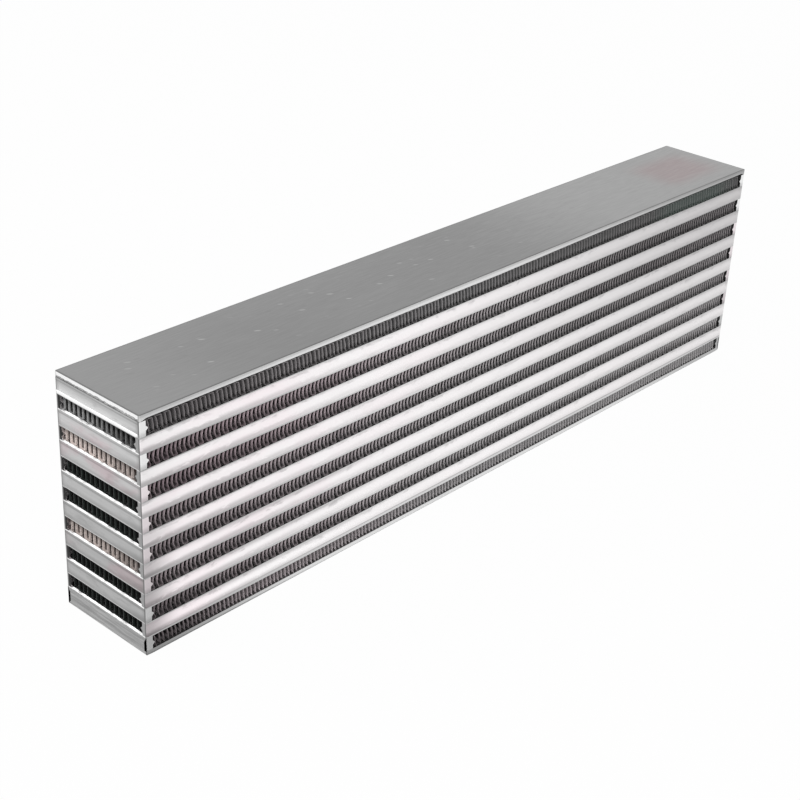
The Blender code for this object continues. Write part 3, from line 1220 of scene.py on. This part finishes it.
def hang_drip(sheet, base, drop):
    """In edit mode, pulls filler down from the front and back edges of a sheet, between the short bars."""
    hanging = beyond(Y, HALF_DEPTH - DRIP_WIDTH)
    between_bars = HALF_LENGTH - AIR_BAR_WIDTH
    for side in (-1, 1):
        cut_at(Y, side * (HALF_DEPTH - DRIP_WIDTH))
        cut_at(X, side * DRIP_FULL)
        cut_at(X, side * between_bars)
    pick(sheet, "FACE", both(at(Z, base), hanging, within(X, between_bars)))
    pull_out(z=-DRIP_TAPER * drop)
    pick(sheet, "FACE", both(at(Z, base - DRIP_TAPER * drop), hanging, within(X, DRIP_FULL)))
    push(z=-(1 - DRIP_TAPER) * drop)


def shake_fillet(sheet, seed):
    """Moves the vertices of both fillets up or down by small random steps."""
    draw = np.random.default_rng(seed)
    for vertex in sheet.data.vertices:
        if abs(vertex.co.x) > HALF_LENGTH - FILLET_RUN - NEAR:
            vertex.co.z += draw.uniform(-FILLET_SHAKE, FILLET_SHAKE)


# %% [markdown]
# The first sheet, under the top row, has a thick bead of filler at its ends. The end face is pulled out ring
# by ring. Each ring is resized about the level that stays still, so that the bead swells upwards.

# %% Bead on the first sheet
# How far out each ring lies, and the levels of its lower and upper side over the sheet's base.
BEAD_RINGS = [(0.00003, 0.0, 0.0028), (0.0004, 0.0003, 0.0027), (0.0006, 0.0008, 0.0025),
              (0.0007, 0.0014, 0.0022)]
BEAD_TAPER = 1.5


def swell_lip(sheet, base):
    """In edit mode, pulls a bead out of both ends of a sheet, ring by ring."""
    for side in (-1, 1):
        pick(sheet, "FACE", at(X, side * HALF_LENGTH))
        out, low, high = 0.0, 0.0, SHEET_THICKNESS
        for next_out, next_low, next_high in BEAD_RINGS:
            pull_out(x=side * (next_out - out))
            stretch = (next_high - next_low) / (high - low)
            still = base + (next_low - stretch * low) / (1 - stretch)
            narrow = (HALF_DEPTH - BEAD_TAPER * next_out) / (HALF_DEPTH - BEAD_TAPER * out)
            bpy.ops.transform.resize(value=(1, narrow, stretch), center_override=(0, 0, still))
            out, low, high = next_out, next_low, next_high


# %% [markdown]
# ## Parting sheets
#
# With these helpers every sheet is a thin block with rounded corners. Sheets with even numbers lie below an
# oil passage and carry fillets and drips. The others have a worn lower lip, apart from the first.

# %% Parting sheets
LIP_ROUND = 0.0003
FIRST_DRIP = 0.0003
DRIP_STEP = 0.00005

for number in range(1, SHEETS + 1):
    node = f"parting_sheet_{number:02d}"
    low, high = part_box(node)
    sheet = add_block(f"clad_sheet_{number:02d}", low, high)
    edit(sheet)
    pick(sheet, "EDGE", upright_corners)
    round_edges(BAR_CORNER_ROUND, 3)
    below_oil = number % 2 == 0
    if below_oil:
        raise_fillet(sheet, high.z)
        hang_drip(sheet, low.z, FIRST_DRIP + DRIP_STEP * (number - 2))
        start_clean()
        shake_fillet(sheet, number)
    elif number == 1:
        swell_lip(sheet, low.z)
    else:
        pick(sheet, "EDGE", both(at(Z, low.z), at_both(X, HALF_LENGTH), runs(Y, NEAR)))
        round_edges(LIP_ROUND, 1)
    start_clean()
    # The first sheet and those with fillets take the painted highlight on their ends, the others painted
    # shade.
    bright = below_oil or number == 1
    hand_over(sheet, node, highlit_sheet_finish if bright else shaded_sheet_finish)
print("sheets", SHEETS, "the last with", len(sheet.data.polygons), "faces")

# %% [markdown]
# ## Folded fins
#
# Both kinds of fin are strip rolled into square folds with round corners. One fold is drawn like a wire:
# a short edge is extruded up a leg, over, down the next leg and on. The legs of an air fin lean and bow,
# as they do when the stack is pressed together. An array repeats the fold, and a solidify modifier gives
# the strip its thickness.

# %% One folded strip
MERGE_REACH = 0.00001


def shape_fold(name, height, depth, pitch, sheet, corner, bow):
    """One fold along X from x = 0, with its front edge at y = 0 and its base at z = 0."""
    low, high = sheet / 2, height - sheet / 2

    def inner_fold(corners):
        on_a_level = min(abs(corners[0].z - low), abs(corners[0].z - high)) < NEAR
        return on_a_level and NEAR < corners[0].x < pitch - NEAR

    start_clean()
    bpy.ops.mesh.primitive_plane_add(size=1, location=(pitch / 8, depth / 2, low))
    strip = bpy.context.object
    strip.name = name
    strip.scale = (pitch / 4, depth, 1)
    bpy.ops.object.transform_apply(location=True, rotation=True, scale=True)
    leg = [Vector((shift, 0, share * (height - sheet))) for share, shift in bow]
    steps = [after - before for before, after in zip(leg, leg[1:])]
    edit(strip)
    pick(strip, "EDGE", at(X, pitch / 4))
    for step in steps + [Vector((pitch / 2, 0, 0))] + [-step for step in reversed(steps)]:
        pull_out(*step)
    pull_out(x=pitch / 4)
    pick(strip, "EDGE", both(runs(Y, depth / 2), inner_fold))
    round_edges(corner)
    start_clean()
    return strip


def shape_strip(name, span, height, depth, pitch, sheet, corner, bow):
    """A strip of folds over a span.

    The bow lists (share of the height, sideways shift) up a leg, and the corner is the folds' radius.
    """
    count = round(span / pitch)
    strip = shape_fold(name, height, depth, span / count, sheet, corner, bow)
    folds = strip.modifiers.new("folds", "ARRAY")
    folds.count = count
    folds.use_relative_offset = False
    folds.use_constant_offset = True
    folds.constant_offset_displace = (span / count, 0, 0)
    folds.use_merge_vertices = True
    folds.merge_threshold = MERGE_REACH
    thickness = strip.modifiers.new("thickness", "SOLIDIFY")
    thickness.thickness = sheet
    thickness.offset = 0
    apply_modifiers(strip)
    mark_heights(strip, height)
    return strip


# %% [markdown]
# ## Air fins
#
# About 190 legs stand in each air row, with feet that hook sideways. In the top and bottom rows, which the
# side plates press on, the legs lean the other way and stand less evenly, so these rows have their own strip.
# Rolled strip never lies quite true, so each row's copy is shaken along its length by a seeded random curve.

# %% Air fins
AIR_FIN_PITCH = 0.00635
AIR_FIN_SHEET = 0.0002
AIR_FIN_CORNER = 0.0003
INNER_BOW = [(0, 0), (0.1, -0.0002), (0.2, -0.0005), (0.3, -0.00085), (0.4, -0.00107), (0.5, -0.00115),
             (0.6, -0.00108), (0.7, -0.0009), (0.85, -0.00055), (1, -0.0002)]
OUTER_BOW = [(0, 0), (0.06, -0.0001), (0.13, -0.0006), (0.2, -0.0007), (0.45, -0.00075), (0.6, -0.001),
             (0.8, -0.0013), (1, -0.0018)]
INNER_SHAKE = 0.00022
OUTER_SHAKE = 0.00045

air_low, air_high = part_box("air_fin_1")
air_span, air_depth, air_height = air_high - air_low
inner_strip, outer_strip = [
    shape_strip(name, air_span, air_height, air_depth, AIR_FIN_PITCH, AIR_FIN_SHEET, AIR_FIN_CORNER, bow)
    for name, bow in (("inner_strip_pattern", INNER_BOW), ("outer_strip_pattern", OUTER_BOW))
]
legs = np.arange(0, air_span + AIR_FIN_PITCH, AIR_FIN_PITCH / 2)
for row in range(1, AIR_ROWS + 1):
    node = f"air_fin_{row}"
    pattern, most = (outer_strip, OUTER_SHAKE) if row in (1, AIR_ROWS) else (inner_strip, INNER_SHAKE)
    fin = copy_to(pattern, f"air_fin_strip_{row}", Matrix.Translation(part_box(node)[0]))
    shake = np.random.default_rng(row).uniform(-most, most, len(legs))
    shake[0] = shake[-1] = 0
    for vertex in fin.data.vertices:
        vertex.co.x += np.interp(vertex.co.x - air_low.x, legs, shake)
    hand_over(fin, node, air_fin_finish)
for pattern in (inner_strip, outer_strip):
    bpy.data.objects.remove(pattern)
print("air fins", AIR_ROWS, "each", len(fin.data.polygons), "faces")

# %% [markdown]
# ## Oil fins
#
# The oil fins have wider folds, run the whole length and stand back a little from the end face. The strip is
# cut from a longer one, so eight folds are shaped and trimmed at both sides, which leaves fifteen legs. Every
# row is a copy of the same strip, and the rows take different finishes of painted light and shade.

# %% Oil fins
OIL_FIN_PITCH = 0.00849
OIL_FIN_FOLDS = 8
OIL_FIN_START = 0.0341
OIL_FIN_TRIMS = (0.0004, 0.0637)
OIL_FIN_SHEET = 0.0003
OIL_FIN_CORNER = 0.0005
STRAIGHT = [(0, 0), (1, 0)]
# Which rows are painted light beige, grey, or near black as painted shade.
OIL_ROW_LOOKS = {1: "grey", 2: "beige", 3: "black", 4: "black", 5: "beige", 6: "black", 7: "black"}

oil_height = box_size("oil_fin_1").z
oil_length = CORE_LENGTH - 2 * OIL_FIN_RECESS
oil_span = OIL_FIN_FOLDS * OIL_FIN_PITCH
oil_strip = shape_strip("oil_strip_pattern", oil_span, oil_height, oil_length, OIL_FIN_PITCH, OIL_FIN_SHEET,
                        OIL_FIN_CORNER, STRAIGHT)
edit(oil_strip)
for trim, outward in zip(OIL_FIN_TRIMS, (-1, 1)):
    bpy.ops.mesh.select_all(action="SELECT")
    bpy.ops.mesh.bisect(plane_co=(trim, 0, 0), plane_no=(outward, 0, 0), use_fill=True, clear_outer=True)
start_clean()
quarter_turn = Matrix.Rotation(-math.pi / 2, 4, "Z")
for row, look in OIL_ROW_LOOKS.items():
    node = f"oil_fin_{row}"
    place = Matrix.Translation((-oil_length / 2, OIL_FIN_START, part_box(node)[0].z))
    fin = copy_to(oil_strip, f"oil_fin_strip_{row}", place @ quarter_turn)
    hand_over(fin, node, oil_fin_finishes[look])
bpy.data.objects.remove(oil_strip)
print("oil fins", OIL_ROWS, "each", len(fin.data.polygons), "faces")

# %% [markdown]
# ## Smooth shading
#
# Rounded edges look faceted until they are shaded smooth. Weighted normals keep the flat faces flat beside
# them.

# %% Smooth shading and triangle count
SMOOTH_ANGLE = math.radians(50)

start_clean()
shown = [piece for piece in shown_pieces() if piece.type == "MESH"]
for piece in shown:
    piece.select_set(True)
bpy.context.view_layer.objects.active = shown[0]
bpy.ops.object.shade_smooth_by_angle(angle=SMOOTH_ANGLE)
for piece in shown:
    if "fin" not in piece.name:
        flat_faces = piece.modifiers.new("flat_faces", "WEIGHTED_NORMAL")
        flat_faces.keep_sharp = True
        apply_modifiers(piece)
start_clean()
print("triangles", sum(len(face.vertices) - 2 for piece in shown for face in piece.data.polygons))
